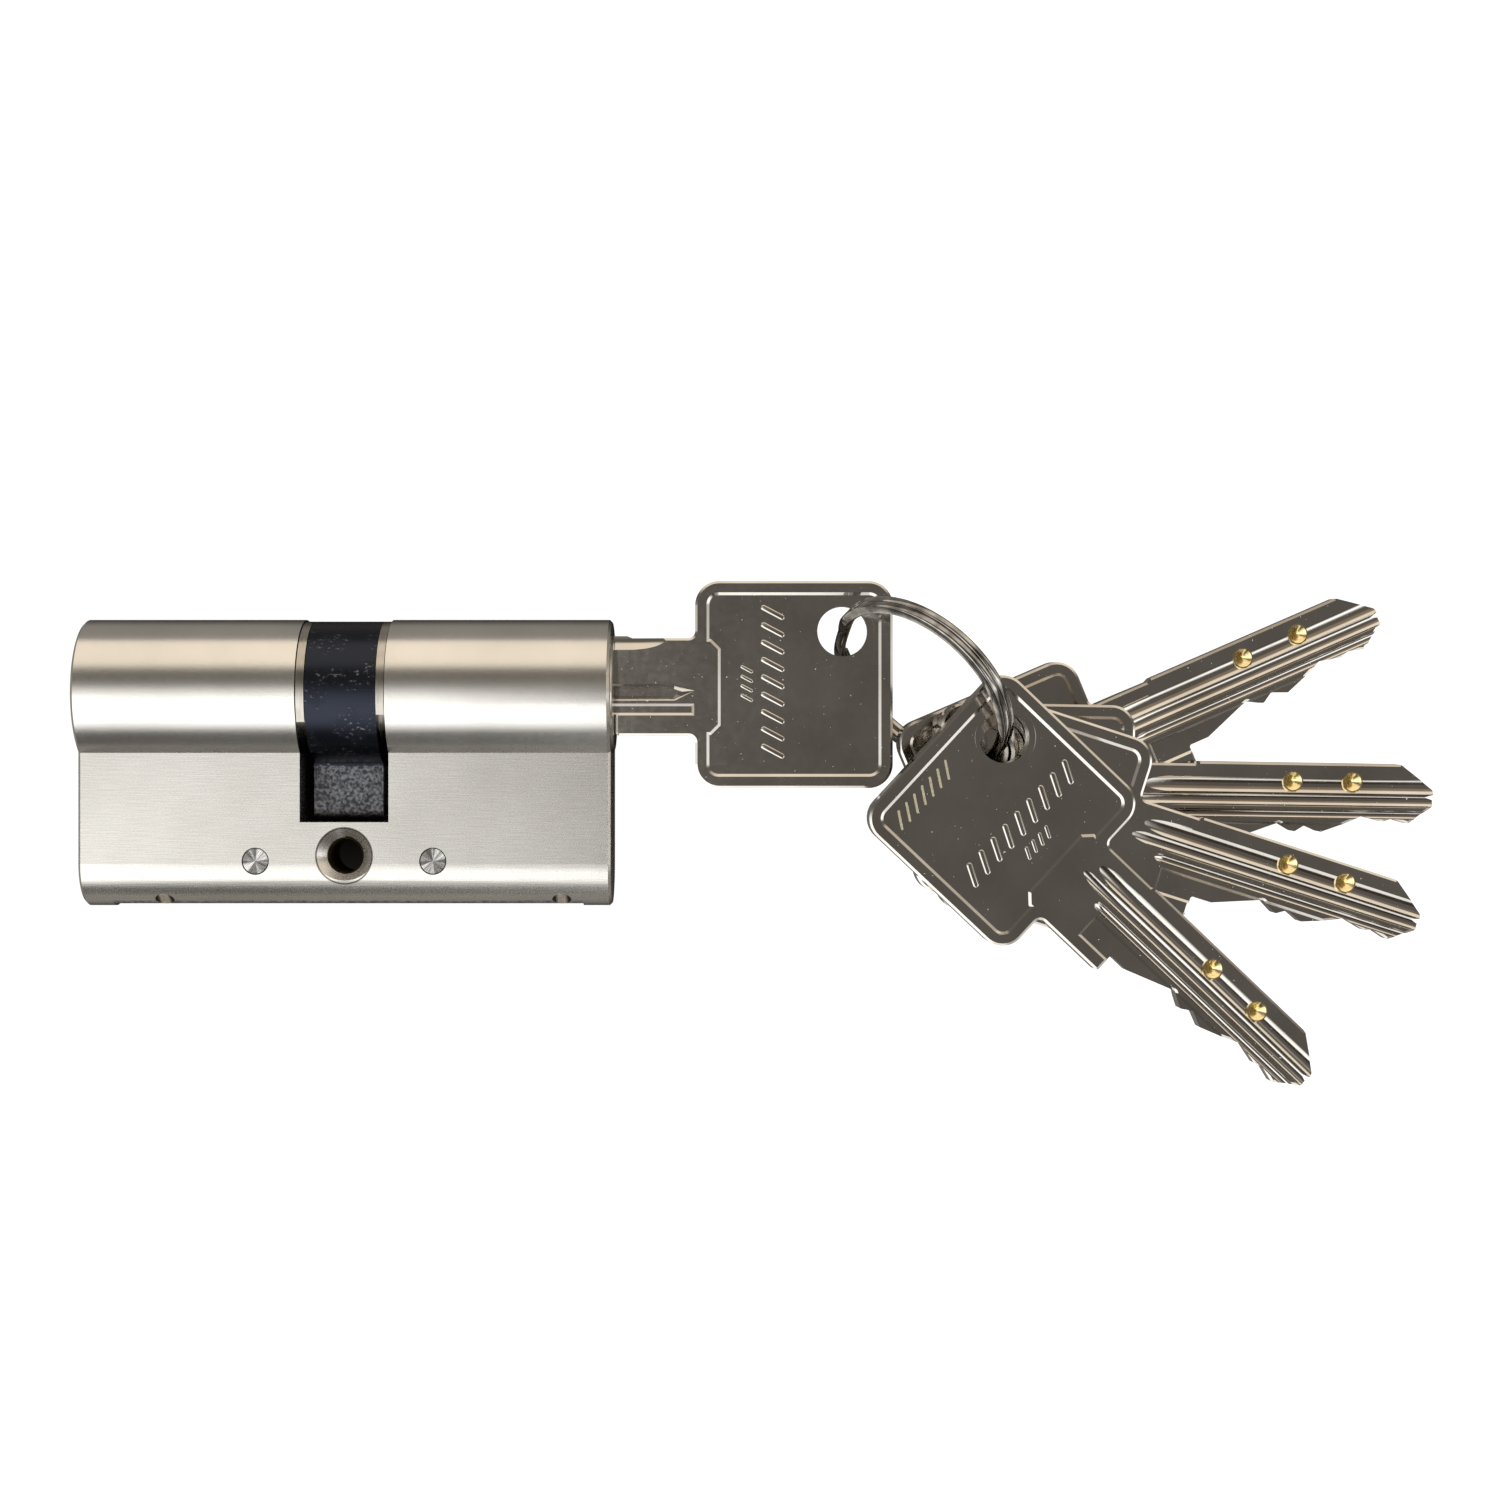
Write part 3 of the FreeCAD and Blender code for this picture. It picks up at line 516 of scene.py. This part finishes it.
def wire_section(width, height, corner, steps=3):
    """A rectangle with round corners, as (across, along the axis) points."""
    points = []
    for i, (sx, sy) in enumerate(((1, 1), (-1, 1), (-1, -1), (1, -1))):
        for k in range(steps + 1):
            a = math.pi / 2 * (i + k / steps)
            points.append((sx * (width / 2 - corner) + corner * math.cos(a),
                           sy * (height / 2 - corner) + corner * math.sin(a)))
    return points


def polar(radius, angle, z):
    return Vector((radius * math.cos(angle), radius * math.sin(angle), z))


def smooth_step(value):
    """0 to 1 with a soft start and end."""
    share = min(1.0, max(0.0, value))
    return share * share * (3 - 2 * share)


def split_ring_coil():
    """Two turns of flat wire side by side, with one short step between them."""
    place = (Matrix.Translation(RING_CENTRE) @ Matrix.Rotation(RING_HEADING, 4, "Z")
             @ Matrix.Rotation(RING_TILT, 4, "X"))
    section = wire_section(WIRE_W, WIRE_T, WIRE_CORNER)
    start, end = STEP_AT + STEP_HALF, STEP_AT + 4 * math.pi - STEP_HALF
    rings = []
    for i in range(COIL_STEPS + 1):
        angle = start + (end - start) * i / COIL_STEPS
        share = smooth_step((angle - STEP_AT - 2 * math.pi) / STEP_HALF * 0.5 + 0.5)
        level = (share - 0.5) * (WIRE_T + TURN_GAP)
        to_end = min(i, COIL_STEPS - i)
        taper = min(1.0, TAPER_FROM + (1 - TAPER_FROM) * to_end / TAPER_STEPS)
        rings.append([place @ polar(RING_R + across * taper, angle, level + along * taper)
                      for across, along in section])
    bm = bmesh.new()
    sweep(bm, rings)
    coil = add_piece("split_ring_coil", bm, "ring_steel", "ring")
    shade_smooth(coil, 60)
    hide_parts("split_ring")


def screw_thread():
    """The M5 thread inside the fixing-screw hole: one ridge in a helix."""
    turns = 2 * THREAD_HALF_L / THREAD_PITCH
    count = int(turns * THREAD_STEPS)
    section = ((THREAD_ROOT_R, -THREAD_ROOT_HALF), (THREAD_CREST_R, -THREAD_CREST_HALF),
               (THREAD_CREST_R, THREAD_CREST_HALF), (THREAD_ROOT_R, THREAD_ROOT_HALF))
    rings = []
    for i in range(count + 1):
        angle = 2 * math.pi * turns * i / count
        z = -THREAD_HALF_L + 2 * THREAD_HALF_L * i / count
        rings.append([polar(radius, angle, z + dz) for radius, dz in section])
    bm = bmesh.new()
    sweep(bm, rings)
    shade_smooth(add_piece("fixing_screw_thread", bm, "thread_painted_shade", "housing"))


def add_pieces():
    for name, place in key_places().items():
        body = "key_in_lock" if name == "key_1" else "loose_" + name
        bow_marks(name, place, body)
        if name != "key_1":
            etched_marks(name, place, body)
    split_ring_coil()
    screw_thread()


# Stage

# Colours of the light from each side
WHITE, SOFT_WHITE, WARM = (1.75, 1.75, 1.73), (1.2, 1.2, 1.18), (1.12, 1.0, 0.84)
EDGE, GREY, BEIGE = (0.35, 0.335, 0.31), (0.30, 0.28, 0.25), (0.30, 0.235, 0.17)
DIM, ROOM = (0.15, 0.14, 0.125), (0.125, 0.117, 0.106)
LOW, BROWN = (0.10, 0.094, 0.087), (0.05, 0.036, 0.028)

# The sky's colours by their angle in degrees from overhead, from the near side to the far side
OVER_RANGE = 120
SKY = ((-95, EDGE), (-88, LOW), (-64, LOW), (-46, WHITE), (-9, WHITE), (12, GREY), (20, DIM), (34, DIM),
       (46, WARM), (86, WARM), (96, EDGE))
RIGHT_SKY = ((-100, EDGE), (-84, SOFT_WHITE), (-50, SOFT_WHITE), (-44, BROWN), (-24, BROWN), (-13, ROOM),
             (12, ROOM), (22, BEIGE), (40, BEIGE), (50, WARM), (86, WARM), (96, EDGE))


def sky_colour(graph):
    """Soft light from the near left, a warm wall beyond the lock, and a dark room over the keys."""
    x, y, z = graph.split(graph.add("ShaderNodeTexCoord").outputs["Generated"])
    over, across = graph.math("ARCTAN2", y, z), graph.math("ARCTAN2", x, z)
    share = graph.fit(over, math.radians(-OVER_RANGE), math.radians(OVER_RANGE))

    def by_angle(stops):
        placed = [((angle + OVER_RANGE) / (2 * OVER_RANGE), colour) for angle, colour in stops]
        return graph.ramp(share, placed)

    def rise(angle, low, high):
        return graph.fit(angle, math.radians(low), math.radians(high))

    def fall(angle, low, high):
        return graph.fit(angle, math.radians(low), math.radians(high), 1.0, 0.0)

    right = graph.times(rise(across, 2, 5), fall(across, 32, 44))
    sky = graph.mix(right, by_angle(SKY), by_angle(RIGHT_SKY))
    overhead = graph.times(graph.times(rise(across, -6, -4), fall(across, 32, 44)),
                           graph.times(rise(over, -19, -15), fall(over, 8, 13)))
    return graph.mix(overhead, sky, ROOM)


def make_world():
    world = bpy.data.worlds.new("studio")
    bpy.context.scene.world = world
    world.use_nodes = True
    graph = Graph(world.node_tree)
    background = graph.add("ShaderNodeBackground", {"Color": sky_colour(graph), "Strength": 1.0})
    graph.add("ShaderNodeOutputWorld", {"Surface": background.outputs[0]})


def make_floor():
    mesh = bpy.data.meshes.new("floor")
    level = CAD_BOUNDS[0].z - FLOOR_GAP
    corners = ((-1, -1), (1, -1), (1, 1), (-1, 1))
    mesh.from_pydata([(x * FLOOR_HALF, y * FLOOR_HALF, level) for x, y in corners], [], [(0, 1, 2, 3)])
    floor = bpy.data.objects.new("floor", mesh)
    mesh.materials.append(material("floor_white", 0.0, floor_white))
    bpy.context.collection.objects.link(floor)


def make_camera():
    data = bpy.data.cameras.new("camera")
    data.sensor_width, data.lens = SENSOR, LENS
    data.clip_start, data.clip_end = 0.01, 10.0
    camera = bpy.data.objects.new("camera", data)
    camera.location = CAMERA_AT
    bpy.context.collection.objects.link(camera)
    bpy.context.scene.camera = camera


bpy.context.scene.view_settings.view_transform = "Standard"
make_camera()
make_world()
make_floor()
dress_nodes()
add_pieces()
